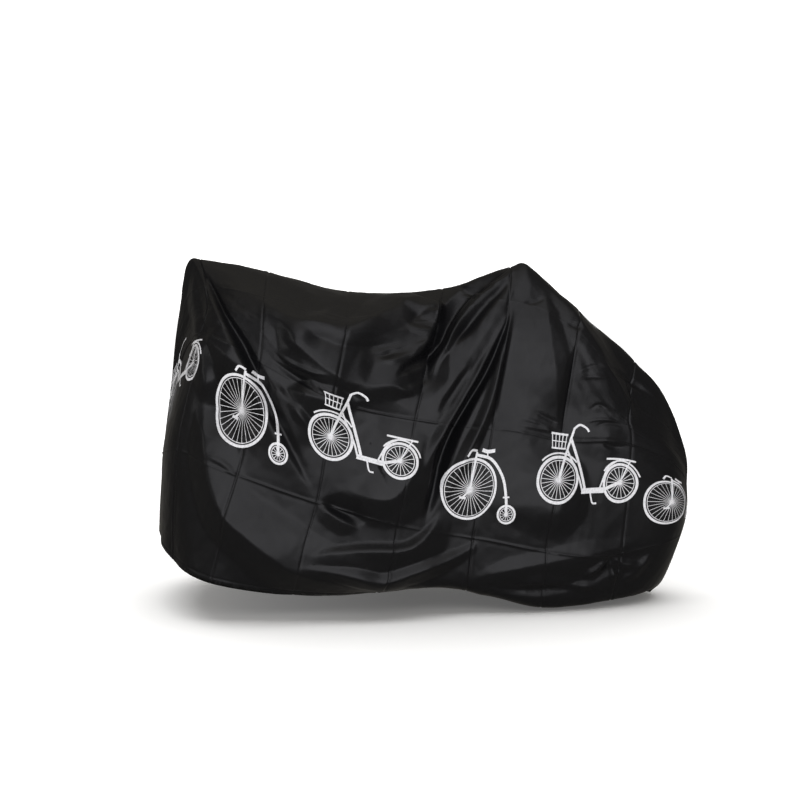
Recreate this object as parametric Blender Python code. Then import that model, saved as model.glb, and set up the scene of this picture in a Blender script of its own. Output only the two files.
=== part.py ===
"""Bicycle cover: one thin sheet draped over a bicycle, closed above and at both ends, open below.

The cover's near side faces -Y and its front end is at -X. The origin is the point under the cloth where
the saddle carries it, and the ground lies SADDLE_HEIGHT below that. A place on the cloth is given by u,
the length from the front seam, and v, the girth from the ridge: above 0 on the near side, below 0 on the
far side.
"""

import bpy
import numpy as np

# Driving dimensions, in metres
SADDLE_HEIGHT = 1.038       # the underside of the cloth on the saddle, above the ground
CLOTH_THICKNESS = 0.002
CLOTH_LENGTH = 2.0          # flat, from front seam to back seam
FAR_SIDE_SHARE = 0.93       # how far the far side stands out, as a share of the near side
GRID_STEP = 0.0125          # spacing of the points at which the drape is worked out
KEPT_FACES = 0.07           # share of the faces left where the drape is even

# The drape follows six lines of the cloth. A row gives where the line hangs at one station u along the
# cloth: x, out (towards -Y from the bicycle's middle plane) and height above the ground.
STATIONS = (0.0, 0.12, 0.25, 0.5, 0.75, 1.0, 1.25, 1.31, 1.5, 1.75, 1.9, 2.0)
RIDGE = (
    (-1.050, 0.00, 0.940), (-1.025, 0.00, 1.053), (-0.988, 0.00, 1.062), (-0.785, -0.02, 1.021),
    (-0.545, -0.04, 0.959), (-0.250, -0.03, 0.968), (-0.020, 0.00, 1.043), (0.020, 0.00, 1.036),
    (0.170, 0.00, 0.906), (0.350, 0.00, 0.740), (0.425, 0.00, 0.656), (0.473, 0.00, 0.575),
)
SHOULDER = (
    (-1.067, 0.00, 0.832), (-1.025, 0.05, 0.930), (-0.950, 0.09, 0.963), (-0.785, 0.14, 0.935),
    (-0.535, 0.16, 0.880), (-0.247, 0.10, 0.934), (-0.050, 0.09, 0.912), (0.022, 0.09, 0.894),
    (0.154, 0.11, 0.829), (0.313, 0.09, 0.619), (0.434, 0.05, 0.544), (0.511, 0.00, 0.471),
)
MIDDLE = (
    (-1.086, 0.00, 0.676), (-1.044, 0.10, 0.798), (-0.968, 0.16, 0.850), (-0.790, 0.23, 0.780),
    (-0.573, 0.24, 0.667), (-0.330, 0.21, 0.600), (-0.103, 0.17, 0.565), (-0.052, 0.17, 0.562),
    (0.107, 0.15, 0.531), (0.321, 0.11, 0.511), (0.470, 0.06, 0.435), (0.520, 0.00, 0.370),
)
LOWER = (
    (-1.119, 0.00, 0.455), (-1.089, 0.13, 0.490), (-1.045, 0.20, 0.510), (-0.852, 0.28, 0.453),
    (-0.624, 0.28, 0.366), (-0.391, 0.25, 0.290), (-0.163, 0.21, 0.242), (-0.114, 0.21, 0.236),
    (0.062, 0.20, 0.202), (0.297, 0.14, 0.180), (0.457, 0.08, 0.203), (0.509, 0.00, 0.208),
)
TURN = (
    (-1.132, 0.00, 0.311), (-1.103, 0.13, 0.303), (-1.061, 0.20, 0.320), (-0.898, 0.29, 0.287),
    (-0.669, 0.29, 0.220), (-0.421, 0.26, 0.132), (-0.177, 0.22, 0.096), (-0.126, 0.22, 0.080),
    (0.055, 0.23, 0.037), (0.276, 0.16, 0.038), (0.406, 0.08, 0.049), (0.457, 0.00, 0.062),
)
HEM = (
    (-1.138, 0.00, 0.214), (-1.111, 0.13, 0.200), (-1.068, 0.20, 0.171), (-0.942, 0.29, 0.126),
    (-0.702, 0.26, 0.074), (-0.452, 0.20, 0.065), (-0.179, 0.13, 0.070), (-0.132, 0.12, 0.054),
    (0.054, 0.11, 0.029), (0.261, 0.07, 0.033), (0.366, 0.04, 0.024), (0.414, 0.00, 0.013),
)
LINES = (RIDGE, SHOULDER, MIDDLE, LOWER, TURN, HEM)
LINE_GIRTHS = (0.0, 0.2, 0.5, 0.833, 1.0, 1.167)   # v of each line; the last is the hem


def through(knots, values, at):
    """Smooth curve through values at uneven knots, read at the places `at`."""
    knots = np.asarray(knots, float)
    values = np.asarray(values, float)
    steps = np.diff(knots)[:, None]
    slopes = np.diff(values, axis=0) / steps
    tangents = np.empty_like(values)
    tangents[1:-1] = (slopes[:-1] * steps[1:] + slopes[1:] * steps[:-1]) / (steps[1:] + steps[:-1])
    tangents[0] = slopes[0]
    tangents[-1] = slopes[-1]
    left = np.clip(np.searchsorted(knots, at, side="right") - 1, 0, len(knots) - 2)
    step = steps[left]
    t = (np.asarray(at)[:, None] - knots[left][:, None]) / step
    return (
        (1 + 2 * t) * (1 - t) ** 2 * values[left]
        + t * (1 - t) ** 2 * step * tangents[left]
        + t ** 2 * (3 - 2 * t) * values[left + 1]
        - t ** 2 * (1 - t) * step * tangents[left + 1]
    )


def drape(u, v):
    """Grid of points, one row for each v and one column for each u, of the cloth without its folds."""
    near = [through(STATIONS, line, u) for line in LINES]
    rows = []
    for line in near[:0:-1]:
        rows.append(np.stack([line[:, 0], FAR_SIDE_SHARE * line[:, 1], line[:, 2]], 1))
    for line in near:
        rows.append(np.stack([line[:, 0], -line[:, 1], line[:, 2]], 1))
    girths = [-g for g in LINE_GIRTHS[:0:-1]] + list(LINE_GIRTHS)
    rows = np.array(rows).reshape(len(girths), -1)
    return through(girths, rows, v).reshape(len(v), len(u), 3)


# Main folds of the near side, seen from the front. A row gives where the fold runs, as points of x and
# height above the ground; its rise out of the cloth, below 0 for a trough; its half width at its first and
# last point; and its edge, 2 for a soft fold and nearer 1 for a crisp one.
NEAR_FOLDS = (
    # path, rise, first width, last width, edge
    (((-1.02, 1.06), (-0.93, 0.93), (-0.84, 0.79), (-0.76, 0.62), (-0.70, 0.50)), 0.034, 0.030, 0.050, 1.2),
    (((-1.00, 1.07), (-0.87, 0.88), (-0.80, 0.75), (-0.72, 0.58), (-0.60, 0.34)), -0.060, 0.024, 0.050, 1.6),
    (((-0.82, 0.82), (-0.74, 0.70), (-0.65, 0.53), (-0.58, 0.40)), 0.026, 0.030, 0.050, 1.3),
    (((-1.01, 1.03), (-0.97, 0.83), (-0.94, 0.58), (-0.90, 0.35), (-0.80, 0.26), (-0.66, 0.14)),
     0.034, 0.040, 0.070, 1.3),
    (((-0.97, 0.93), (-0.90, 0.67), (-0.86, 0.48)), -0.024, 0.035, 0.050, 2.0),
    (((-0.82, 0.97), (-0.64, 0.81), (-0.52, 0.68)), 0.030, 0.035, 0.060, 1.2),
    (((-0.72, 0.89), (-0.50, 0.85), (-0.26, 0.86)), -0.020, 0.030, 0.034, 2.0),
    (((-0.60, 0.79), (-0.41, 0.80), (-0.27, 0.85)), 0.018, 0.030, 0.030, 1.5),
    (((0.00, 1.06), (-0.10, 0.98), (-0.19, 0.92), (-0.26, 0.85), (-0.33, 0.74)), -0.040, 0.020, 0.040, 1.7),
    (((0.00, 1.03), (-0.11, 0.89), (-0.23, 0.74), (-0.36, 0.56), (-0.44, 0.44)), 0.036, 0.026, 0.060, 1.3),
    (((-0.03, 1.00), (-0.10, 0.82), (-0.17, 0.70), (-0.26, 0.58), (-0.36, 0.36)), -0.050, 0.024, 0.050, 1.7),
    (((-0.04, 0.98), (-0.10, 0.78), (-0.15, 0.62), (-0.25, 0.45)), 0.026, 0.024, 0.040, 1.3),
    (((0.06, 0.98), (0.06, 0.81), (0.09, 0.65), (0.10, 0.50)), -0.018, 0.030, 0.040, 2.0),
    (((0.03, 1.00), (0.16, 0.84), (0.21, 0.74), (0.32, 0.58)), 0.024, 0.030, 0.040, 1.2),
    (((-0.76, 0.19), (-0.57, 0.15), (-0.44, 0.11), (-0.35, 0.14), (-0.20, 0.17)), 0.022, 0.030, 0.040, 1.2),
    (((-0.66, 0.25), (-0.41, 0.22), (-0.26, 0.29)), 0.022, 0.030, 0.040, 1.3),
    (((-0.64, 0.31), (-0.50, 0.27), (-0.35, 0.26)), -0.020, 0.028, 0.034, 2.0),
    (((-0.18, 0.09), (0.05, 0.14), (0.20, 0.15), (0.37, 0.18)), -0.050, 0.030, 0.040, 2.0),
    (((-0.04, 0.08), (0.10, 0.09), (0.26, 0.06)), 0.026, 0.026, 0.030, 1.6),
)

# The same for the far side, still with x and height.
FAR_FOLDS = (
    (((-1.01, 1.05), (-0.94, 0.86), (-0.90, 0.62), (-0.92, 0.34)), 0.034, 0.030, 0.060, 1.3),
    (((-1.00, 1.06), (-0.88, 0.86), (-0.78, 0.64), (-0.70, 0.36)), -0.050, 0.026, 0.056, 1.7),
    (((-0.95, 0.99), (-0.80, 0.84), (-0.66, 0.70), (-0.46, 0.56)), 0.030, 0.030, 0.060, 1.3),
    (((-0.74, 0.91), (-0.50, 0.82), (-0.28, 0.86)), -0.022, 0.034, 0.036, 2.0),
    (((-0.66, 0.79), (-0.42, 0.72), (-0.22, 0.77)), 0.020, 0.034, 0.040, 1.4),
    (((0.00, 1.05), (-0.14, 0.92), (-0.27, 0.76), (-0.42, 0.54)), -0.044, 0.024, 0.056, 1.7),
    (((0.00, 1.02), (-0.10, 0.82), (-0.18, 0.64), (-0.26, 0.38)), 0.034, 0.026, 0.056, 1.3),
    (((0.03, 1.00), (0.02, 0.78), (-0.02, 0.58), (-0.05, 0.30)), -0.034, 0.026, 0.050, 2.0),
    (((0.04, 1.00), (0.15, 0.80), (0.20, 0.60), (0.21, 0.38)), 0.024, 0.030, 0.050, 1.3),
    (((-0.90, 0.32), (-0.62, 0.20), (-0.38, 0.17), (-0.10, 0.22)), 0.026, 0.036, 0.046, 1.3),
    (((-0.14, 0.12), (0.08, 0.16), (0.34, 0.16)), -0.046, 0.034, 0.040, 2.0),
)
PATH_STEPS = 80             # places along a fold at which its distance is taken
FOLD_ROUNDING = 0.35        # radius of a fold's crest, as a share of the fold's half width
FADE_IN = 0.2               # share of a fold's path over which it rises
FADE_OUT = 0.3              # and over which it dies away
PLAIN_EDGE = 0.06           # metres from the ridge and the end seams within which folds die away


def fold_relief(x, height, folds):
    """How far the folds lift the cloth at each x and height."""
    relief = np.zeros_like(x)
    for path, rise, first, last, edge in folds:
        along = np.linspace(0, 1, PATH_STEPS)
        line = through(np.linspace(0, 1, len(path)), path, along)
        gap = np.hypot(x[..., None] - line[:, 0], height[..., None] - line[:, 1])
        nearest = gap.argmin(-1)
        t = along[nearest]
        width = first + (last - first) * t
        rounding = FOLD_ROUNDING * width
        away = np.hypot(gap.min(-1), rounding) - rounding
        fade = smooth(t / FADE_IN) * smooth((1 - t) / FADE_OUT)
        relief += rise * fade * np.exp(-(away / width) ** edge)
    return relief


def smooth(t):
    """0 below 0, 1 above 1 and an even rise between."""
    t = np.clip(t, 0, 1)
    return t * t * (3 - 2 * t)


def outward(points):
    """Unit normals of a grid of points, pointing out of the cover."""
    along = np.gradient(points, axis=1)
    down = np.gradient(points, axis=0)
    normals = np.cross(along, down)
    return -normals / np.maximum(np.linalg.norm(normals, axis=2, keepdims=True), 1e-9)


def folded(u, v):
    """The draped grid with its folds, above the ground."""
    points = drape(u, v)
    x, height = points[..., 0], points[..., 2]
    near = fold_relief(x, height, NEAR_FOLDS) * smooth(v / PLAIN_EDGE)[:, None]
    far = fold_relief(x, height, FAR_FOLDS) * smooth(-v / PLAIN_EDGE)[:, None]
    ends = smooth(u / PLAIN_EDGE) * smooth((CLOTH_LENGTH - u) / PLAIN_EDGE)
    return points + outward(points) * ((near + far) * ends)[..., None]


def cover_mesh():
    """The open sheet: near and far half share their points along both end seams."""
    u = np.linspace(0, CLOTH_LENGTH, round(CLOTH_LENGTH / GRID_STEP) + 1)
    half = round(LINE_GIRTHS[-1] / GRID_STEP)
    v = np.linspace(-LINE_GIRTHS[-1], LINE_GIRTHS[-1], 2 * half + 1)
    points = folded(u, v)
    points[..., 2] -= SADDLE_HEIGHT
    number = np.arange(points.shape[0] * points.shape[1]).reshape(points.shape[:2])
    for end in (0, -1):
        number[:half, end] = number[:half:-1, end]
    used, compact = np.unique(number, return_inverse=True)
    number = compact.reshape(number.shape)
    faces = np.stack([number[:-1, :-1], number[1:, :-1], number[1:, 1:], number[:-1, 1:]], -1)
    mesh = bpy.data.meshes.new("cover")
    mesh.from_pydata(points.reshape(-1, 3)[used].tolist(), [], faces.reshape(-1, 4).tolist())
    mesh.shade_smooth()
    return mesh


def film():
    """Thin black plastic film with a satin gloss."""
    material = bpy.data.materials.new("black_film")
    material.use_nodes = True
    shader = material.node_tree.nodes["Principled BSDF"]
    shader.inputs["Base Color"].default_value = (0.012, 0.012, 0.014, 1.0)
    shader.inputs["Roughness"].default_value = 0.38
    shader.inputs["Metallic"].default_value = 0.0
    return material


def build():
    for item in list(bpy.data.objects):
        bpy.data.objects.remove(item)
    cover = bpy.data.objects.new("cover", cover_mesh())
    bpy.context.collection.objects.link(cover)
    cover.data.materials.append(film())
    thinned = cover.modifiers.new("fewer_faces_where_even", "DECIMATE")
    thinned.ratio = KEPT_FACES
    wall = cover.modifiers.new("wall", "SOLIDIFY")
    wall.thickness = CLOTH_THICKNESS
    wall.offset = -1.0


build()
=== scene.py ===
"""Looks of the bicycle cover: the draped film with its folds, packing creases, hem and printed figures."""

import math

import bpy
import numpy as np
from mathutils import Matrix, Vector


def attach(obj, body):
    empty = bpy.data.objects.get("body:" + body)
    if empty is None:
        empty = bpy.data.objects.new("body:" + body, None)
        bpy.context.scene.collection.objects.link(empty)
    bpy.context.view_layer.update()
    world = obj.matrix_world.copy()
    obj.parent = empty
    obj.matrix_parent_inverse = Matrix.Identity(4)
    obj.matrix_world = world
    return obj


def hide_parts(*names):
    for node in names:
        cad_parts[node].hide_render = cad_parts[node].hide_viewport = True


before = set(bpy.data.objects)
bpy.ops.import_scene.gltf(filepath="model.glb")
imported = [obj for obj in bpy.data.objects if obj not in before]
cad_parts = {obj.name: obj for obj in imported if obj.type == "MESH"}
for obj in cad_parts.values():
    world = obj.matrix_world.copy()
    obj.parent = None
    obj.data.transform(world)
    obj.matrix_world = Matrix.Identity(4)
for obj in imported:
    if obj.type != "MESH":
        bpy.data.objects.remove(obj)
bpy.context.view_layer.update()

# ---- Sizes, in metres ----
SADDLE_HEIGHT = 1.038       # the origin above the ground
CLOTH_LENGTH = 2.0          # u runs from 0 at the front seam to this at the back seam
HALF_GIRTH = 1.167          # v runs from 0 at the ridge to this at the near hem, and to minus it at the far
FAR_SIDE_SHARE = 0.93
NEAR_STEP = 0.0046          # grid of the near side down the cloth, and of both sides along it
FAR_STEP = 0.0075           # grid of the far side down the cloth
CREASE_STEPS = (0.0, 0.0016, 0.0034, 0.006, 0.0095)     # places of the grid to both sides of a crease
CREASE_CLEAR = 0.012        # the even grid keeps this far from a crease
MOST_TRIANGLES = 190000     # of the film; fewer are kept where it is even

# ---- Drape: six lines of the cloth, each with its place at every station u as x, out, height ----
STATIONS = (0.0, 0.12, 0.25, 0.5, 0.75, 1.0, 1.25, 1.31, 1.33, 1.5, 1.75, 1.9, 2.0)
RIDGE = (
    (-1.052, 0.00, 0.940), (-1.027, 0.00, 1.053), (-0.990, 0.00, 1.064), (-0.785, -0.02, 1.028),
    (-0.545, -0.04, 0.965), (-0.250, -0.03, 0.970), (-0.038, 0.00, 1.038), (0.003, 0.00, 1.047),
    (0.019, 0.00, 1.036), (0.170, 0.00, 0.908), (0.350, 0.00, 0.751), (0.428, 0.00, 0.662),
    (0.475, 0.00, 0.575),
)
SHOULDER = (
    (-1.070, 0.00, 0.832), (-1.022, 0.04, 0.930), (-0.950, 0.10, 0.963), (-0.785, 0.17, 0.938),
    (-0.535, 0.19, 0.884), (-0.264, 0.10, 0.864), (-0.050, 0.09, 0.912), (0.022, 0.09, 0.894),
    (0.036, 0.09, 0.890), (0.154, 0.11, 0.829), (0.313, 0.09, 0.619), (0.434, 0.05, 0.544),
    (0.511, 0.00, 0.471),
)
MIDDLE = (
    (-1.089, 0.00, 0.676), (-1.034, 0.07, 0.798), (-0.968, 0.16, 0.850), (-0.790, 0.23, 0.780),
    (-0.573, 0.24, 0.667), (-0.330, 0.21, 0.600), (-0.103, 0.17, 0.565), (-0.052, 0.17, 0.562),
    (-0.036, 0.17, 0.560), (0.107, 0.15, 0.531), (0.321, 0.11, 0.511), (0.470, 0.06, 0.435),
    (0.520, 0.00, 0.370),
)
LOWER = (
    (-1.119, 0.00, 0.455), (-1.089, 0.13, 0.490), (-1.045, 0.20, 0.510), (-0.852, 0.28, 0.453),
    (-0.624, 0.28, 0.366), (-0.391, 0.25, 0.290), (-0.163, 0.21, 0.242), (-0.114, 0.21, 0.236),
    (-0.096, 0.21, 0.233), (0.062, 0.20, 0.202), (0.297, 0.14, 0.180), (0.457, 0.08, 0.203),
    (0.509, 0.00, 0.208),
)
TURN = (
    (-1.132, 0.00, 0.311), (-1.103, 0.13, 0.303), (-1.061, 0.20, 0.320), (-0.898, 0.29, 0.287),
    (-0.669, 0.29, 0.220), (-0.421, 0.26, 0.132), (-0.177, 0.21, 0.094), (-0.126, 0.20, 0.077),
    (-0.107, 0.20, 0.073), (0.055, 0.18, 0.030), (0.276, 0.13, 0.034), (0.406, 0.07, 0.048),
    (0.457, 0.00, 0.062),
)
HEM = (
    (-1.138, 0.00, 0.214), (-1.111, 0.13, 0.200), (-1.068, 0.20, 0.171), (-0.942, 0.29, 0.126),
    (-0.702, 0.26, 0.077), (-0.452, 0.20, 0.070), (-0.179, 0.13, 0.072), (-0.132, 0.12, 0.054),
    (-0.113, 0.12, 0.050), (0.054, 0.11, 0.029), (0.261, 0.07, 0.033), (0.366, 0.04, 0.024),
    (0.414, 0.00, 0.013),
)
LINES = (RIDGE, SHOULDER, MIDDLE, LOWER, TURN, HEM)
LINE_GIRTHS = (0.0, 0.2, 0.5, 0.833, 1.0, 1.167)   # v of each line; the last is the hem

# ---- Folds of the near side ----
# A fold runs along a path, counted in steps back from the front end and down from the top. It lifts the
# cloth by `rise` along the path, which falls to nothing over the widths to its left and right, seen along
# the path from outside. At its start it has the share `start` of its rise and widths. `crest` is the
# radius that rounds its crest.
PATH_FROM = (-1.0915, 1.062)            # x and height above ground at which the count starts
PATH_STEP = (0.003025, -0.00295)        # one step back and one step down
NEAR_FOLDS = (
    # path, rise, width left, width right, start, crest
    # from the handlebar: crest, trough, and the soft ridge down the front corner
    (((28, 2), (40, 21), (53, 44), (75, 83), (90, 113), (102, 142), (123, 185), (157, 240)),
     0.040, 0.030, 0.150, 0.15, 0.006),
    (((34, 4), (48, 25), (64, 50), (82, 78), (97, 108), (110, 138), (130, 178), (157, 238)),
     -0.028, 0.032, 0.024, 0.15, 0.004),
    (((27, 8), (31, 38), (37, 68), (44, 98), (48, 130), (52, 168)), 0.024, 0.034, 0.050, 0.30, 0.010),
    (((40, 68), (62, 85), (87, 106)), 0.028, 0.070, 0.090, 0.60, 0.003),
    (((30, 137), (55, 142), (80, 148), (108, 156)), -0.042, 0.100, 0.085, 0.80, 0.008),
    (((40, 123), (44, 153), (48, 183), (54, 216), (66, 246), (86, 266), (108, 285), (133, 302), (175, 315),
      (218, 324), (260, 328)),
     0.060, 0.160, 0.120, 0.40, 0.004),
    # the edge of the top, and the facets under it
    (((52, 21), (80, 30), (105, 42), (130, 55), (160, 60), (205, 61)), 0.014, 0.060, 0.050, 0.50, 0.003),
    (((175, 63), (202, 59), (225, 52), (245, 45), (264, 39)), 0.028, 0.070, 0.055, 0.60, 0.003),
    (((134, 59), (160, 73), (185, 81), (225, 80), (274, 74)), -0.038, 0.045, 0.150, 0.50, 0.006),
    (((117, 54), (135, 75), (155, 93), (179, 111), (192, 127)), 0.046, 0.190, 0.095, 0.60, 0.003),
    (((102, 50), (120, 71), (140, 89), (176, 109)), -0.010, 0.040, 0.040, 0.50, 0.006),
    (((108, 112), (123, 130), (143, 156), (160, 183)), 0.020, 0.024, 0.140, 0.40, 0.003),
    (((124, 122), (145, 128), (170, 135), (196, 142)), 0.042, 0.050, 0.110, 0.70, 0.003),
    (((270, 76), (265, 103), (256, 136)), -0.034, 0.070, 0.070, 0.50, 0.005),
    (((176, 136), (186, 158), (200, 183)), -0.016, 0.100, 0.030, 0.60, 0.006),
    (((178, 115), (200, 118), (230, 121), (252, 125)), 0.021, 0.130, 0.050, 0.70, 0.006),
    (((185, 140), (220, 150), (255, 157)), -0.012, 0.040, 0.130, 0.70, 0.005),
    (((230, 113), (245, 103), (260, 95), (274, 81)), -0.022, 0.022, 0.022, 0.60, 0.004),
    (((212, 100), (235, 92), (255, 86), (274, 75)), 0.012, 0.020, 0.020, 0.70, 0.004),
    (((228, 120), (240, 127), (252, 124), (266, 118)), 0.012, 0.018, 0.020, 0.70, 0.004),
    (((210, 91), (240, 89), (270, 82)), -0.010, 0.018, 0.018, 0.80, 0.004),
    # the fan of folds that falls from the saddle
    (((352, 6), (322, 23), (298, 41), (284, 60), (277, 78), (268, 94), (263, 116)),
     -0.055, 0.026, 0.050, 0.15, 0.004),
    (((355, 8), (327, 29), (302, 54), (282, 81), (271, 98), (266, 123)), 0.024, 0.026, 0.020, 0.25, 0.003),
    (((348, 19), (322, 44), (302, 66), (285, 85)), -0.024, 0.028, 0.020, 0.30, 0.005),
    (((351, 24), (332, 50), (312, 80), (295, 108), (278, 140), (262, 174)),
     0.020, 0.045, 0.120, 0.25, 0.010),
    (((306, 103), (287, 131), (272, 153)), -0.014, 0.018, 0.018, 0.50, 0.004),
    (((330, 78), (310, 116), (290, 150), (270, 183), (258, 208)), 0.022, 0.020, 0.030, 0.40, 0.004),
    (((346, 50), (335, 80), (321, 112), (304, 142), (289, 170), (276, 204), (266, 238), (258, 263)),
     -0.066, 0.030, 0.036, 0.15, 0.004),
    (((349, 43), (339, 83), (329, 126), (318, 158), (302, 190), (286, 222), (270, 253)),
     0.032, 0.030, 0.030, 0.20, 0.006),
    (((349, 58), (341, 103), (334, 143), (326, 170)), -0.012, 0.100, 0.018, 0.40, 0.003),
    # the flat panel behind the fan, the valley after it and the shoulder of the back
    (((378, 28), (383, 58), (387, 88), (390, 123), (394, 163)), 0.024, 0.062, 0.160, 0.50, 0.003),
    (((415, 76), (410, 110), (404, 150), (398, 178)), -0.018, 0.050, 0.040, 0.60, 0.003),
    (((378, 23), (400, 43), (417, 66), (432, 90), (440, 110), (455, 133), (468, 158), (474, 183)),
     0.034, 0.070, 0.085, 0.35, 0.003),
    (((440, 109), (465, 122), (497, 144)), -0.008, 0.012, 0.014, 0.80, 0.002),
    (((358, 43), (370, 41), (383, 37)), -0.005, 0.010, 0.010, 0.80, 0.003),
    (((400, 62), (410, 66), (418, 70)), -0.006, 0.010, 0.010, 0.80, 0.003),
    (((401, 178), (396, 218), (392, 253), (388, 286)), 0.030, 0.100, 0.260, 0.80, 0.004),
    (((406, 178), (430, 178), (468, 179)), 0.010, 0.080, 0.080, 0.70, 0.003),
    (((438, 182), (446, 188), (464, 190)), -0.008, 0.014, 0.012, 0.60, 0.002),
    (((277, 42), (274, 52), (271, 63)), 0.030, 0.020, 0.150, 0.60, 0.004),
    # low down: the bright facet's neighbours, the roll with its highlight and the ridge over the hem
    (((152, 236), (175, 252), (197, 265)), 0.014, 0.020, 0.050, 0.60, 0.002),
    (((158, 232), (180, 246), (204, 257)), -0.020, 0.060, 0.020, 0.60, 0.005),
    (((175, 220), (202, 230), (226, 232), (242, 216), (252, 194), (262, 168)),
     0.038, 0.140, 0.120, 0.60, 0.003),
    (((146, 290), (166, 286), (200, 285), (234, 286), (252, 280), (268, 264), (278, 244)),
     0.028, 0.022, 0.100, 0.80, 0.003),
    (((126, 298), (160, 302), (190, 308), (218, 316), (246, 310), (276, 301), (302, 290), (320, 276)),
     0.026, 0.023, 0.040, 0.80, 0.004),
    (((304, 321), (340, 312), (388, 303), (440, 295), (485, 287)), 0.016, 0.050, 0.100, 0.60, 0.001),
    # the hollow where the cloth is turned under, and what hangs below it
    (((318, 326), (345, 332), (380, 334), (415, 326), (455, 311), (492, 300)),
     -0.012, 0.070, 0.034, 0.40, 0.001),
    (((345, 328), (370, 326), (396, 328), (422, 332), (448, 337)), 0.010, 0.040, 0.022, 0.50, 0.001),
    (((446, 303), (449, 318), (453, 335)), 0.013, 0.024, 0.014, 0.50, 0.001),
    (((448, 303), (462, 311), (484, 315)), 0.013, 0.020, 0.030, 0.50, 0.001),
    (((444, 304), (432, 315), (416, 326)), 0.015, 0.030, 0.024, 0.50, 0.001),
    (((492, 300), (477, 318), (458, 332)), 0.010, 0.030, 0.024, 0.50, 0.001),
    # small wrinkles where the film was handled
    (((367, 149), (383, 158), (398, 165)), -0.004, 0.007, 0.006, 0.60, 0.002),
    (((350, 162), (375, 168), (398, 172)), 0.004, 0.008, 0.006, 0.60, 0.002),
    (((352, 155), (370, 161), (390, 169)), 0.003, 0.006, 0.006, 0.60, 0.002),
    (((424, 151), (434, 145), (446, 150)), -0.003, 0.007, 0.006, 0.60, 0.002),
    (((418, 163), (436, 160), (457, 163)), 0.003, 0.008, 0.006, 0.60, 0.002),
    (((428, 168), (442, 164), (459, 167)), -0.003, 0.006, 0.006, 0.60, 0.002),
    (((412, 112), (426, 106), (438, 109)), -0.005, 0.010, 0.008, 0.60, 0.002),
    (((414, 118), (428, 116), (444, 121)), 0.004, 0.009, 0.007, 0.60, 0.002),
    (((112, 83), (130, 96), (150, 104), (170, 108)), 0.006, 0.010, 0.010, 0.80, 0.002),
    (((108, 90), (128, 106), (152, 119), (174, 126)), -0.007, 0.010, 0.012, 0.80, 0.002),
    (((140, 114), (152, 118), (162, 130)), 0.007, 0.010, 0.012, 0.80, 0.002),
    (((245, 57), (264, 52), (280, 56)), -0.006, 0.009, 0.009, 0.80, 0.002),
    (((289, 26), (310, 31), (342, 23)), -0.007, 0.010, 0.012, 0.80, 0.002),
    (((292, 37), (308, 35), (322, 37)), 0.005, 0.009, 0.009, 0.80, 0.002),
    (((462, 122), (468, 136), (474, 158)), -0.006, 0.012, 0.012, 0.60, 0.003),
    (((45, 186), (65, 196), (80, 212)), 0.005, 0.010, 0.010, 0.80, 0.003),
    (((235, 58), (255, 68), (276, 69)), 0.005, 0.010, 0.012, 0.80, 0.003),
)

# The same for the far side, its paths still as seen from outside the near side.
FAR_FOLDS = (
    (((27, 4), (50, 68), (63, 150), (57, 245)), 0.040, 0.070, 0.090, 0.20, 0.006),
    (((30, 1), (70, 68), (103, 143), (129, 238)), -0.050, 0.050, 0.060, 0.20, 0.006),
    (((47, 24), (96, 75), (143, 123), (209, 170)), 0.036, 0.060, 0.090, 0.40, 0.006),
    (((116, 52), (196, 82), (268, 68)), -0.024, 0.050, 0.060, 0.60, 0.008),
    (((143, 92), (222, 116), (288, 99)), 0.024, 0.050, 0.070, 0.60, 0.006),
    (((361, 4), (315, 48), (272, 102), (222, 177)), -0.050, 0.050, 0.060, 0.15, 0.005),
    (((361, 14), (328, 82), (301, 143), (275, 231)), 0.044, 0.050, 0.070, 0.20, 0.006),
    (((371, 21), (367, 96), (354, 163), (344, 258)), -0.034, 0.040, 0.060, 0.20, 0.006),
    (((374, 21), (410, 89), (427, 157), (430, 231)), 0.030, 0.060, 0.080, 0.30, 0.008),
    (((63, 252), (156, 292), (235, 302), (328, 285)), 0.028, 0.060, 0.060, 0.60, 0.006),
    (((315, 319), (387, 306), (473, 306)), -0.046, 0.040, 0.050, 0.60, 0.006),
)
PATH_STEPS = 60             # places along a fold at which its distance is taken
FADE_IN = 0.12              # share of its path over which a fold rises if it starts from nothing,
FADE_IN_MORE = 0.30         # and how much longer that is if it starts at its full size
FADE_OUT = 0.40             # share of its path over which it dies away
TIP = 0.35                  # share of its width that a fold keeps at its tips
FOOT = 0.07                 # how softly a fold's foot meets the cloth, as a share of its width
FOLD_REACH = 3.0            # how far from its path a fold is felt, in widths
PLAIN_EDGE = 0.05           # within this of the ridge and the end seams folds die away


def through(knots, values, at):
    """Smooth curve through values at uneven knots, read at the places `at`."""
    knots = np.asarray(knots, float)
    values = np.asarray(values, float)
    steps = np.diff(knots)[:, None]
    slopes = np.diff(values, axis=0) / steps
    tangents = np.empty_like(values)
    tangents[1:-1] = (slopes[:-1] * steps[1:] + slopes[1:] * steps[:-1]) / (steps[1:] + steps[:-1])
    tangents[0] = slopes[0]
    tangents[-1] = slopes[-1]
    left = np.clip(np.searchsorted(knots, at, side="right") - 1, 0, len(knots) - 2)
    step = steps[left]
    t = (np.asarray(at)[:, None] - knots[left][:, None]) / step
    return (
        (1 + 2 * t) * (1 - t) ** 2 * values[left]
        + t * (1 - t) ** 2 * step * tangents[left]
        + t ** 2 * (3 - 2 * t) * values[left + 1]
        - t ** 2 * (1 - t) * step * tangents[left + 1]
    )


def smooth(t):
    """0 below 0, 1 above 1 and an even rise between."""
    t = np.clip(t, 0, 1)
    return t * t * (3 - 2 * t)


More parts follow.
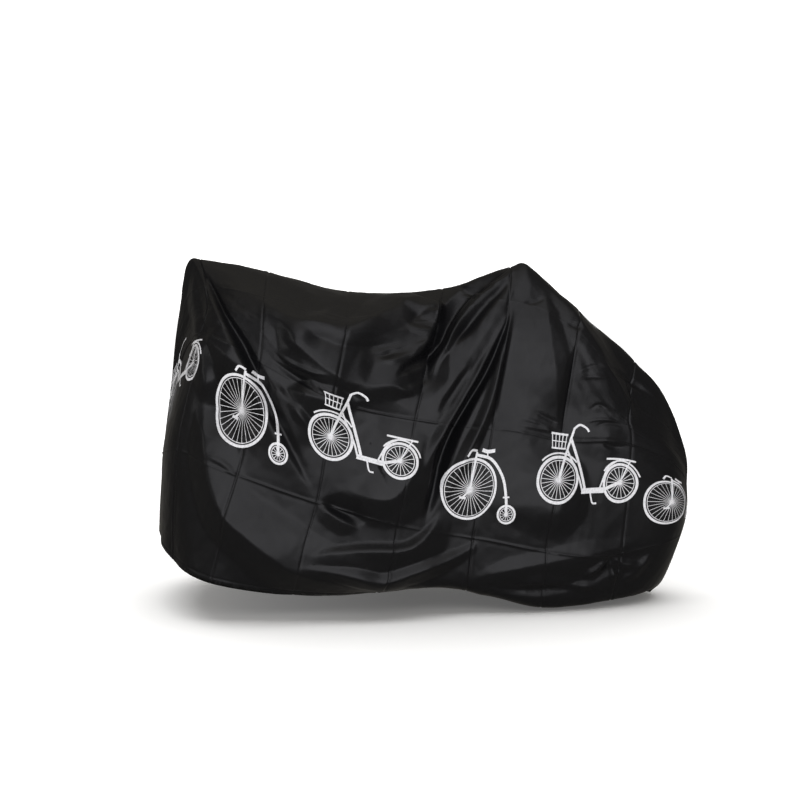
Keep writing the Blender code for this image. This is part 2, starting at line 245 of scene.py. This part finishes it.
def drape(u, v):
    """Grid of points, one row for each v and one column for each u, of the cloth without its folds."""
    near = [through(STATIONS, line, u) for line in LINES]
    rows = []
    for line in near[:0:-1]:
        rows.append(np.stack([line[:, 0], FAR_SIDE_SHARE * line[:, 1], line[:, 2]], 1))
    for line in near:
        rows.append(np.stack([line[:, 0], -line[:, 1], line[:, 2]], 1))
    girths = [-g for g in LINE_GIRTHS[:0:-1]] + list(LINE_GIRTHS)
    rows = np.array(rows).reshape(len(girths), -1)
    return through(girths, rows, v).reshape(len(v), len(u), 3)


def fold_relief(x, height, folds):
    """How far the folds lift the cloth at each x and height."""
    relief = np.zeros_like(x)
    along = np.linspace(0, 1, PATH_STEPS)
    for path, rise, left, right, start, crest in folds:
        path = np.array(PATH_FROM) + np.array(path) * np.array(PATH_STEP)
        line = through(np.linspace(0, 1, len(path)), path, along)
        ahead = np.gradient(line, axis=0)
        reach = FOLD_REACH * max(left, right)
        low, high = line.min(0) - reach, line.max(0) + reach
        here = (x > low[0]) & (x < high[0]) & (height > low[1]) & (height < high[1])
        away_x = x[here][:, None] - line[:, 0]
        away_z = height[here][:, None] - line[:, 1]
        gaps = np.hypot(away_x, away_z)
        nearest = gaps.argmin(1)
        pick = (np.arange(len(nearest)), nearest)
        step_x, step_z = ahead[nearest].T
        past = (away_x[pick] * step_x + away_z[pick] * step_z) / (step_x ** 2 + step_z ** 2)
        past = np.where((nearest == 0) & (past < 0) | (nearest == PATH_STEPS - 1) & (past > 0), 0, past)
        gap = np.hypot(away_x[pick] - past * step_x, away_z[pick] - past * step_z)
        turn = step_x * away_z[pick] - step_z * away_x[pick]
        t = along[nearest] + past / (PATH_STEPS - 1)
        fade = smooth(t / (FADE_IN + FADE_IN_MORE * start)) * smooth((1 - t) / FADE_OUT)
        scale = start + (1 - start) * t
        width = np.where(turn > 0, left, right) * scale * (TIP + (1 - TIP) * fade)
        gap = np.hypot(gap, crest) - crest
        slope = 1 - gap / width
        profile = 0.5 * (slope + np.hypot(slope, FOOT)) / (0.5 + 0.5 * math.hypot(1, FOOT))
        profile *= smooth(2 * (FOLD_REACH - gap / width) / FOLD_REACH)
        relief[here] += rise * scale * fade * profile
    return relief


def outward(points):
    """Unit normals of a grid of points, pointing out of the cover."""
    along = np.gradient(points, axis=1)
    down = np.gradient(points, axis=0)
    normals = np.cross(along, down)
    return -normals / np.maximum(np.linalg.norm(normals, axis=2, keepdims=True), 1e-9)


# ---- Packing creases: the cover was folded small, so a grid of creases crosses it ----
CREASES_U = tuple(0.25 * k for k in range(1, 8))
CREASES_V = (-0.833, -0.5, -0.167, 0.167, 0.5, 0.833)
CREASES_V_SHARE = (1.0, 1.0, 0.4, 0.4, 1.0, 1.0)    # of the full height; by the ridge they are pulled out
VALLEY_DEPTH = 0.0029       # the creases down the side
VALLEY_HALF_WIDTH = 0.0026
RIDGE_HEIGHT = 0.0024       # the creases along it
RIDGE_HALF_WIDTH = 0.0026
CREASE_EDGE = 1.3           # 2 for a round crease and nearer 1 for a sharp one
CREASE_STRAY = 0.004        # how far a crease wanders from a straight line
LIP_SHARE = 0.25            # the soft lips beside a crease, as a share of its height,
LIP_AWAY = 3                # how many half widths of the crease they lie from it
LIP_HALF_WIDTH = 0.006
PANEL_TILT = 0.009          # how far a crossing of two creases may lie in or out
PANEL_SEED = 4
HEM_TURN = 0.02             # width of cloth turned in at the hem and sealed down
HEM_GAP = 0.0015            # between the turned-in cloth and the cloth before it
HEM_ROWS = (1.0, 0.65, 0.3)     # rows of the turned-in cloth, as shares of its width
SEAL_DEPTH = 0.0012         # the sealed line along the hem
SEAL_HALF_WIDTH = 0.0022
SEALS_V = (-HALF_GIRTH + HEM_TURN, HALF_GIRTH - HEM_TURN)


def crease(gap, half_width):
    """Section of a crease of height 1 at each gap from its line, with a lip the other way on each side."""
    lip = np.exp(-((gap - LIP_AWAY * half_width) / LIP_HALF_WIDTH) ** 2)
    return np.exp(-(gap / half_width) ** CREASE_EDGE) - LIP_SHARE * lip


def crease_relief(u, v):
    """Relief of the crease grid and the hem's seal, with panels between that each lie a little askew."""
    relief = np.zeros((len(v), len(u)))
    for i, at in enumerate(CREASES_U):
        gap = np.abs(u[None, :] - at - CREASE_STRAY * np.sin(5.0 * v[:, None] + i))
        strength = 0.75 + 0.25 * np.sin(7.0 * v[:, None] + 2.1 * i)
        relief -= VALLEY_DEPTH * strength * crease(gap, VALLEY_HALF_WIDTH)
    for i, at in enumerate(CREASES_V):
        gap = np.abs(v[:, None] - at - CREASE_STRAY * np.sin(6.0 * u[None, :] + i))
        strength = CREASES_V_SHARE[i] * (0.7 + 0.3 * np.sin(8.0 * u[None, :] + 1.7 * i))
        relief += RIDGE_HEIGHT * strength * crease(gap, RIDGE_HALF_WIDTH)
    for at in SEALS_V:
        relief -= SEAL_DEPTH * np.exp(-((v[:, None] - at) / SEAL_HALF_WIDTH) ** 2)
    rng = np.random.default_rng(PANEL_SEED)
    knots_u = (0.0, *CREASES_U, CLOTH_LENGTH)
    knots_v = (-HALF_GIRTH, *CREASES_V, HALF_GIRTH)
    tilt = rng.uniform(-PANEL_TILT, PANEL_TILT, (len(knots_v), len(knots_u)))
    across = np.array([np.interp(u, knots_u, row) for row in tilt])
    panels = np.array([np.interp(v, knots_v, column) for column in across.T]).T
    return relief + panels


# ---- Small dents and waves of limp film ----
WAVES = (
    # longest and shortest wave, height of the sum
    (0.30, 0.16, 0.0010),
    (0.11, 0.06, 0.0004),
    (0.045, 0.026, 0.0002),
)
WAVES_EACH = 12
WAVE_SEED = 11


def wave_relief(u, v):
    """Soft uneven dents: crossing waves of many directions."""
    rng = np.random.default_rng(WAVE_SEED)
    relief = np.zeros((len(v), len(u)))
    for longest, shortest, height in WAVES:
        for _ in range(WAVES_EACH):
            turn = rng.uniform(0, math.pi)
            per_metre = math.tau / rng.uniform(shortest, longest)
            phase = rng.uniform(0, math.tau)
            run = math.cos(turn) * u[None, :] + math.sin(turn) * v[:, None]
            relief += height / math.sqrt(WAVES_EACH) * np.sin(per_metre * run + phase)
    return relief


def spaced(low, high, step, creases):
    """Grid places from low to high about `step` apart, and closer together at the creases."""
    count = round((high - low) / step)
    places = [low + (high - low) * k / count for k in range(count + 1)]
    places = [p for p in places if all(abs(p - c) > CREASE_CLEAR for c in creases)]
    for c in creases:
        places += [c + d for d in CREASE_STEPS]
        places += [c - d for d in CREASE_STEPS if d]
    return sorted(places)


def film_surface():
    """Places u and v, the grid of points and its normals for the finished film."""
    u = np.array(spaced(0.0, CLOTH_LENGTH, NEAR_STEP, CREASES_U))
    fine_v = CREASES_V + SEALS_V
    far_v = spaced(-HALF_GIRTH, 0.0, FAR_STEP, [c for c in fine_v if c < 0])
    near_v = spaced(0.0, HALF_GIRTH, NEAR_STEP, [c for c in fine_v if c > 0])
    v = np.array(far_v[:-1] + near_v)
    points = drape(u, v)
    x, height = points[..., 0], points[..., 2]
    near = fold_relief(x, height, NEAR_FOLDS) * smooth(v / PLAIN_EDGE)[:, None]
    far = fold_relief(x, height, FAR_FOLDS) * smooth(-v / PLAIN_EDGE)[:, None]
    small = crease_relief(u, v) + wave_relief(u, v)
    ends = smooth(u / PLAIN_EDGE) * smooth((CLOTH_LENGTH - u) / PLAIN_EDGE)
    points = points + outward(points) * ((near + far + small) * ends)[..., None]
    points[..., 2] -= SADDLE_HEIGHT
    return u, v, points, outward(points)


def quads(corner):
    """The four corners of each cell of a grid of corner numbers."""
    return np.stack([corner[:-1, :-1], corner[1:, :-1], corner[1:, 1:], corner[:-1, 1:]], -1)


def film_mesh(u, v, points, normals):
    """The film as one sheet, closed at both end seams, with its hem turned in and up."""
    depths = [HEM_TURN * share for share in HEM_ROWS]
    far_turn = [(np.searchsorted(v, v[0] + d), v[0] - d) for d in depths]
    near_turn = [(np.searchsorted(v, v[-1] - d), v[-1] + d) for d in depths[::-1]]
    turned = points - normals * HEM_GAP
    grid = np.concatenate([turned[[k for k, _ in far_turn]], points, turned[[k for k, _ in near_turn]]])
    girth = np.concatenate([[g for _, g in far_turn], v, [g for _, g in near_turn]])
    rows, columns = len(girth), len(u)
    corner = np.arange(rows * columns).reshape(rows, columns)
    cells = quads(corner).reshape(-1, 4)
    mesh = bpy.data.meshes.new("cover_film")
    mesh.from_pydata(grid.reshape(-1, 3).tolist(), [], cells.tolist())
    layer = mesh.uv_layers.new(name="cloth")
    loops = cells.reshape(-1)
    places = np.stack([u[loops % columns], girth[loops // columns]], -1)
    layer.data.foreach_set("uv", places.astype(np.float32).ravel())
    mesh.shade_smooth()
    return mesh


# ---- Print: two plain figures in turn, a high-wheeler and a kick scooter, both heading forwards ----
PRINT_GAP = 0.0007          # how far the print lies off the film
PRINT_LAYER = 0.00004       # and how much farther each next stroke lies, over STROKE_LAYERS of them
STROKE_LAYERS = 6
STROKE_STEP = 0.004         # spacing of the points along a stroke
STROKE_BAND = 0.006         # widest band of a stroke between two rows of points
RIM_WIDTH = 0.0022
SPOKE_WIDTH = 0.0017
HUB_RADIUS = 0.004
HUB_EDGE = 0.006            # where the spokes begin, and the width of the hub's ring
FIGURES = (
    # u and v of the middle, which figure, its scale
    (0.12, 0.58, "scooter", 1.0), (0.49, 0.69, "high_wheeler", 0.95), (0.86, 0.62, "scooter", 1.0),
    (1.24, 0.70, "high_wheeler", 0.95), (1.61, 0.62, "scooter", 1.0), (1.90, 0.70, "high_wheeler", 0.8),
    (0.31, -0.68, "high_wheeler", 0.95), (0.69, -0.61, "scooter", 1.0), (1.06, -0.70, "high_wheeler", 0.95),
    (1.44, -0.62, "scooter", 1.0), (1.82, -0.70, "high_wheeler", 0.8),
)


def bar(*points, width=0.008):
    """A stroke through the points, straight between two and curved through more."""
    points = np.array(points)
    length = np.linalg.norm(np.diff(points, axis=0), axis=1).sum()
    at = np.linspace(0, 1, max(2, math.ceil(length / STROKE_STEP) + 1))
    return through(np.linspace(0, 1, len(points)), points, at), width


def arc(centre, radius, first, last, width):
    """Part of a ring, between two angles in degrees."""
    count = max(4, math.ceil(math.radians(abs(last - first)) * radius / STROKE_STEP))
    turn = np.radians(np.linspace(first, last, count + 1))
    return np.array(centre) + radius * np.stack([np.cos(turn), np.sin(turn)], 1), width


def wheel(centre, radius, tyre, spokes):
    """Tyre, rim, hub and spokes."""
    strokes = [arc(centre, radius, 0, 360, tyre)]
    strokes += [arc(centre, radius - tyre * 1.1, 0, 360, RIM_WIDTH)]
    strokes += [arc(centre, HUB_RADIUS, 0, 360, HUB_EDGE)]
    for k in range(spokes):
        turn = math.tau * k / spokes
        way = np.array([math.cos(turn), math.sin(turn)])
        strokes.append(bar(centre + HUB_EDGE * way, centre + (radius - tyre) * way, width=SPOKE_WIDTH))
    return strokes


def scooter():
    """A tall scooter with spoked wheels, a low deck, a wire basket and a rear rack."""
    front, back = (-0.105, 0.0), (0.112, -0.012)
    strokes = wheel(front, 0.068, 0.009, 24) + wheel(back, 0.052, 0.008, 18)
    strokes += [arc(front, 0.080, 40, 140, 0.005)]
    strokes += [arc(back, 0.063, 20, 150, 0.005)]
    strokes += [bar((-0.064, 0.158), (-0.076, 0.110), (-0.092, 0.055), front, width=0.008)]
    strokes += [bar((-0.072, 0.128), (-0.038, 0.055), (-0.006, -0.026), width=0.009)]
    strokes += [bar((-0.082, 0.092), (-0.034, 0.010), (-0.016, -0.030), width=0.006)]
    strokes += [bar((-0.018, -0.033), (0.062, -0.033), width=0.015)]
    strokes += [bar((0.058, -0.033), back, width=0.009)]
    strokes += [bar((0.046, -0.030), (0.068, 0.026), (0.100, 0.052), width=0.005)]
    strokes += [bar((0.062, 0.056), (0.158, 0.056), width=0.006)]
    strokes += [bar((0.140, 0.054), back, width=0.004)]
    strokes += [bar((-0.066, 0.156), (-0.046, 0.170), (-0.022, 0.162), (-0.012, 0.150), width=0.007)]
    strokes += [bar((0.016, -0.040), (0.026, -0.066), (0.040, -0.068), width=0.005)]
    strokes += [bar((-0.146, 0.136), (-0.084, 0.136), width=0.006)]
    strokes += [bar((-0.138, 0.094), (-0.088, 0.094), width=0.005)]
    for k in range(5):
        strokes.append(bar((-0.142 + 0.0135 * k, 0.136), (-0.135 + 0.011 * k, 0.094), width=0.003))
    strokes += [bar((-0.140, 0.115), (-0.086, 0.115), width=0.0028)]
    return strokes


def high_wheeler():
    """A high-wheeler: one tall wheel, one small one and a curved backbone over both."""
    front, back = (-0.030, 0.022), (0.122, -0.047)
    strokes = wheel(front, 0.098, 0.008, 30) + wheel(back, 0.029, 0.007, 12)
    strokes += [bar((-0.030, 0.134), (0.030, 0.122), (0.085, 0.070), (0.110, 0.010), back, width=0.009)]
    strokes += [bar((-0.030, 0.142), front, width=0.008)]
    strokes += [bar((-0.066, 0.126), (-0.054, 0.146), (-0.030, 0.146), width=0.007)]
    strokes += [bar((-0.012, 0.150), (0.010, 0.146), (0.036, 0.150), width=0.011)]
    strokes += [bar((0.008, 0.146), (0.014, 0.126), width=0.005)]
    strokes += [bar(front, (-0.050, -0.006), width=0.006)]
    strokes += [bar((-0.062, -0.007), (-0.038, -0.007), width=0.008)]
    strokes += [bar((0.100, 0.006), (0.122, 0.010), width=0.005)]
    return strokes


def on_film(a, b, u, v, grid):
    """Values of a grid over the film at places a along it and b round it."""
    i = np.clip(np.searchsorted(v, b) - 1, 0, len(v) - 2)
    j = np.clip(np.searchsorted(u, a) - 1, 0, len(u) - 2)
    s = np.clip((a - u[j]) / (u[j + 1] - u[j]), 0, 1)[..., None]
    t = np.clip((b - v[i]) / (v[i + 1] - v[i]), 0, 1)[..., None]
    low = (1 - s) * grid[i, j] + s * grid[i, j + 1]
    high = (1 - s) * grid[i + 1, j] + s * grid[i + 1, j + 1]
    return (1 - t) * low + t * high


def print_mesh(u, v, points, normals):
    """The figures as thin strips that follow the film."""
    kinds = {"scooter": scooter(), "high_wheeler": high_wheeler()}
    verts, faces, places = [], [], []
    for middle_u, middle_v, kind, scale in FIGURES:
        side = 1 if middle_v > 0 else -1
        for order, (line, width) in enumerate(kinds[kind]):
            line, width = line * scale, width * scale
            ahead = np.gradient(line, axis=0)
            ahead /= np.maximum(np.linalg.norm(ahead, axis=1, keepdims=True), 1e-9)
            across = np.stack([-ahead[:, 1], ahead[:, 0]], 1)
            bands = math.ceil(width / STROKE_BAND)
            spread = np.linspace(-0.5, 0.5, bands + 1) * width
            flat = line[:, None] + across[:, None] * spread[:, None]
            a = middle_u + flat[..., 0]
            b = middle_v - side * flat[..., 1]
            off = PRINT_GAP + PRINT_LAYER * (order % STROKE_LAYERS)
            lifted = on_film(a, b, u, v, points) + off * on_film(a, b, u, v, normals)
            corner = sum(len(part) for part in verts) + np.arange(a.size).reshape(a.shape)
            verts.append(lifted.reshape(-1, 3))
            faces.append(quads(corner).reshape(-1, 4)[:, ::-side])
            places.append(np.stack([a, b], -1).reshape(-1, 2))
    verts, faces, places = np.concatenate(verts), np.concatenate(faces), np.concatenate(places)
    mesh = bpy.data.meshes.new("print")
    mesh.from_pydata(verts.tolist(), [], faces.tolist())
    layer = mesh.uv_layers.new(name="cloth")
    layer.data.foreach_set("uv", places[faces.reshape(-1)].astype(np.float32).ravel())
    mesh.shade_smooth()
    return mesh


# ---- Materials ----
def node(tree, kind, **values):
    """A shader node with its inputs set by name."""
    made = tree.nodes.new(kind)
    for name, value in values.items():
        if name.startswith("set_"):
            setattr(made, name[4:], value)
        else:
            made.inputs[name.replace("_", " ")].default_value = value
    return made


def film_material():
    """Satin black film: fine grain, faint crumples and uneven gloss."""
    material = bpy.data.materials.new("black_film")
    material.use_nodes = True
    tree = material.node_tree
    link = tree.links.new
    shader = tree.nodes["Principled BSDF"]
    shader.inputs["Base Color"].default_value = (0.0035, 0.0035, 0.004, 1.0)
    shader.inputs["IOR"].default_value = 1.5
    shader.inputs["Specular IOR Level"].default_value = 0.2
    place = node(tree, "ShaderNodeUVMap", set_uv_map="cloth")
    gloss = node(tree, "ShaderNodeTexNoise", Scale=9.0, Detail=4.0, Roughness=0.6)
    link(place.outputs["UV"], gloss.inputs["Vector"])
    spread = node(tree, "ShaderNodeMapRange", From_Min=0.3, From_Max=0.7, To_Min=0.33, To_Max=0.41)
    link(gloss.outputs["Fac"], spread.inputs["Value"])
    link(spread.outputs["Result"], shader.inputs["Roughness"])
    crumple = node(tree, "ShaderNodeTexVoronoi", set_feature="SMOOTH_F1", Scale=26.0, Smoothness=0.6)
    link(place.outputs["UV"], crumple.inputs["Vector"])
    grain = node(tree, "ShaderNodeTexNoise", Scale=420.0, Detail=2.0)
    link(place.outputs["UV"], grain.inputs["Vector"])
    coarse = node(tree, "ShaderNodeBump", Strength=0.16, Distance=0.004)
    link(crumple.outputs["Distance"], coarse.inputs["Height"])
    fine = node(tree, "ShaderNodeBump", Strength=0.08, Distance=0.0006)
    link(grain.outputs["Fac"], fine.inputs["Height"])
    link(coarse.outputs["Normal"], fine.inputs["Normal"])
    link(fine.outputs["Normal"], shader.inputs["Normal"])
    return material


def print_material():
    """White ink with a faint mottle, a little rougher than the film."""
    material = bpy.data.materials.new("white_print")
    material.use_nodes = True
    tree = material.node_tree
    link = tree.links.new
    shader = tree.nodes["Principled BSDF"]
    shader.inputs["Base Color"].default_value = (0.6, 0.6, 0.6, 1.0)    # where a viewer leaves out the mottle
    place = node(tree, "ShaderNodeUVMap", set_uv_map="cloth")
    mottle = node(tree, "ShaderNodeTexNoise", Scale=160.0, Detail=3.0)
    link(place.outputs["UV"], mottle.inputs["Vector"])
    tone = node(tree, "ShaderNodeValToRGB")
    darkest, lightest = tone.color_ramp.elements
    darkest.position = 0.3
    darkest.color = (0.46, 0.46, 0.47, 1.0)
    lightest.position = 0.6
    lightest.color = (0.60, 0.60, 0.61, 1.0)
    link(mottle.outputs["Fac"], tone.inputs["Fac"])
    link(tone.outputs["Color"], shader.inputs["Base Color"])
    spread = node(tree, "ShaderNodeMapRange", From_Min=0.3, From_Max=0.7, To_Min=0.45, To_Max=0.60)
    link(mottle.outputs["Fac"], spread.inputs["Value"])
    link(spread.outputs["Result"], shader.inputs["Roughness"])
    ink = node(tree, "ShaderNodeBump", Strength=0.10, Distance=0.0003)
    link(mottle.outputs["Fac"], ink.inputs["Height"])
    link(ink.outputs["Normal"], shader.inputs["Normal"])
    return material


def pale_material(near_glow, far_glow):
    """Even pale paint, lit through from behind, the more so the farther from the middle of the room."""
    material = bpy.data.materials.new("pale_surround")
    material.use_nodes = True
    tree = material.node_tree
    shader = tree.nodes["Principled BSDF"]
    shader.inputs["Base Color"].default_value = (0.9, 0.9, 0.9, 1.0)
    shader.inputs["Roughness"].default_value = 0.9
    shader.inputs["Emission Color"].default_value = (1.0, 1.0, 1.0, 1.0)
    place = tree.nodes.new("ShaderNodeTexCoord")
    away = node(tree, "ShaderNodeVectorMath", set_operation="LENGTH")
    tree.links.new(place.outputs["Object"], away.inputs[0])
    glow = {"From_Min": GLOW_FROM, "From_Max": GLOW_TO, "To_Min": near_glow, "To_Max": far_glow}
    spread = node(tree, "ShaderNodeMapRange", **glow)
    tree.links.new(away.outputs["Value"], spread.inputs["Value"])
    tree.links.new(spread.outputs["Result"], shader.inputs["Emission Strength"])
    return material


def add(name, mesh, material):
    """A new object in the scene, with its mesh and material."""
    thing = bpy.data.objects.new(name, mesh)
    bpy.context.collection.objects.link(thing)
    thing.data.materials.append(material)
    return thing


# ---- Studio ----
VIEW_CENTRE = Vector((-0.379, 0.0, 0.629 - SADDLE_HEIGHT))
VIEW_DISTANCE = 4.6
VIEW_ELEVATION = math.radians(9.0)
PIXELS_PER_METRE = 322.0    # at the view centre, in a frame 800 wide
FRAME_WIDTH = 800
SENSOR = 36.0
SCREEN_RADIUS = 9.0
SCREEN_HEIGHT = 8.0
SCREEN_SIDES = 96
GLOW_FROM, GLOW_TO = 1.1, 4.0   # distances over which the surround's glow goes from its near to its far value
FLOOR_GLOW = (0.10, 0.95)
SCREEN_GLOW = (1.0, 1.0)
COVER_CENTRE = (-0.3, 0.0, -0.5)
WHITE = (1.0, 1.0, 1.0)
COOL = (0.95, 0.95, 1.0)
WARM = (1.0, 0.93, 0.80)
COVER_LAMPS = (
    # name, place, target, width, height, power, colour
    ("front", (0.25, -4.6, 0.5), (0.25, 0.0, 0.5), 5.5, 3.2, 156, COOL),
    ("front_high", (0.3, -3.9, 3.4), COVER_CENTRE, 4.6, 2.4, 75, COOL),
    ("front_top", (0.3, -1.7, 3.8), COVER_CENTRE, 4.6, 1.6, 26, COOL),
    ("front_left", (-4.6, -2.6, 0.8), COVER_CENTRE, 1.2, 2.2, 20, WHITE),
    ("over_cover", (-0.4, 0.1, 3.4), (-0.4, 0.1, 0.0), 4.4, 4.6, 22, WARM),
    ("behind", (-0.4, 4.4, -0.35), COVER_CENTRE, 5.0, 1.2, 50, COOL),
)
FLOOR_LAMPS = (
    ("over_floor", (-0.4, 0.3, 2.8), (-0.4, 0.0, -1.0), 6.0, 4.4, 240, WHITE),
    ("before_floor", (-0.4, -4.0, 2.6), (-0.4, -0.3, -1.0), 5.0, 2.0, 30, WHITE),
)
WORLD_COLOUR = (1.0, 0.95, 0.86, 1.0)
WORLD_STRENGTH = 0.20


def camera():
    """The camera, a little above the horizon and square to the near side."""
    data = bpy.data.cameras.new("camera")
    data.sensor_width = SENSOR
    data.lens = SENSOR * PIXELS_PER_METRE * VIEW_DISTANCE / FRAME_WIDTH
    eye = bpy.data.objects.new("camera", data)
    bpy.context.collection.objects.link(eye)
    back = Vector((0.0, -math.cos(VIEW_ELEVATION), math.sin(VIEW_ELEVATION)))
    eye.location = VIEW_CENTRE + back * VIEW_DISTANCE
    eye.rotation_euler = (-back).to_track_quat("-Z", "Y").to_euler()
    bpy.context.scene.camera = eye


def softbox(name, place, target, width, height, power, colour, lit):
    """A soft rectangular light for the objects of the collection `lit`."""
    data = bpy.data.lights.new(name, "AREA")
    data.shape = "RECTANGLE"
    data.size, data.size_y = width, height
    data.energy = power
    data.color = colour
    lamp = bpy.data.objects.new(name, data)
    bpy.context.collection.objects.link(lamp)
    lamp.location = place
    lamp.rotation_euler = (Vector(target) - Vector(place)).to_track_quat("-Z", "Y").to_euler()
    lamp.light_linking.receiver_collection = lit
    lamp.visible_camera = False


def surround(name, verts, faces, glow):
    """A pale piece of the studio, which the film doesn't mirror."""
    mesh = bpy.data.meshes.new(name)
    mesh.from_pydata(verts, [], faces)
    thing = add(name, mesh, pale_material(*glow))
    thing.visible_glossy = False
    return thing


def studio(pieces):
    """Pale floor inside a round pale screen, and soft lights for the floor and for the pieces."""
    sides = SCREEN_SIDES
    turns = [math.tau * k / sides for k in range(sides)]
    ring = [(SCREEN_RADIUS * math.cos(a), SCREEN_RADIUS * math.sin(a)) for a in turns]
    low = [(x, y, -SADDLE_HEIGHT) for x, y in ring]
    high = [(x, y, -SADDLE_HEIGHT + SCREEN_HEIGHT) for x, y in ring]
    floor = surround("studio_floor", low, [tuple(range(sides))], FLOOR_GLOW)
    around = [(k, (k + 1) % sides, sides + (k + 1) % sides, sides + k) for k in range(sides)]
    screen = surround("studio_screen", low + high, around, SCREEN_GLOW)
    screen.visible_diffuse = False
    screen.visible_shadow = False
    pale = bpy.data.collections.new("pale_surroundings")
    pale.objects.link(floor)
    cover = bpy.data.collections.new("cover")
    for piece in pieces:
        cover.objects.link(piece)
    for lamp in COVER_LAMPS:
        softbox(*lamp, lit=cover)
    for lamp in FLOOR_LAMPS:
        softbox(*lamp, lit=pale)
    world = bpy.data.worlds.new("studio")
    bpy.context.scene.world = world
    world.use_nodes = True
    backdrop = world.node_tree.nodes["Background"]
    backdrop.inputs["Color"].default_value = WORLD_COLOUR
    backdrop.inputs["Strength"].default_value = WORLD_STRENGTH
    bpy.context.scene.view_settings.view_transform = "Standard"


def main():
    """The film in place of the plain solid, its print, the camera and the studio."""
    camera()
    u, v, points, normals = film_surface()
    film = add("cover_film", film_mesh(u, v, points, normals), film_material())
    thinned = film.modifiers.new("fewer_faces_where_even", "DECIMATE")
    thinned.ratio = min(1.0, MOST_TRIANGLES / (2 * len(film.data.polygons)))
    figures = add("print", print_mesh(u, v, points, normals), print_material())
    for piece in (film, figures):
        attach(piece, "root")
    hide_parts("cover")
    studio((film, figures))


main()
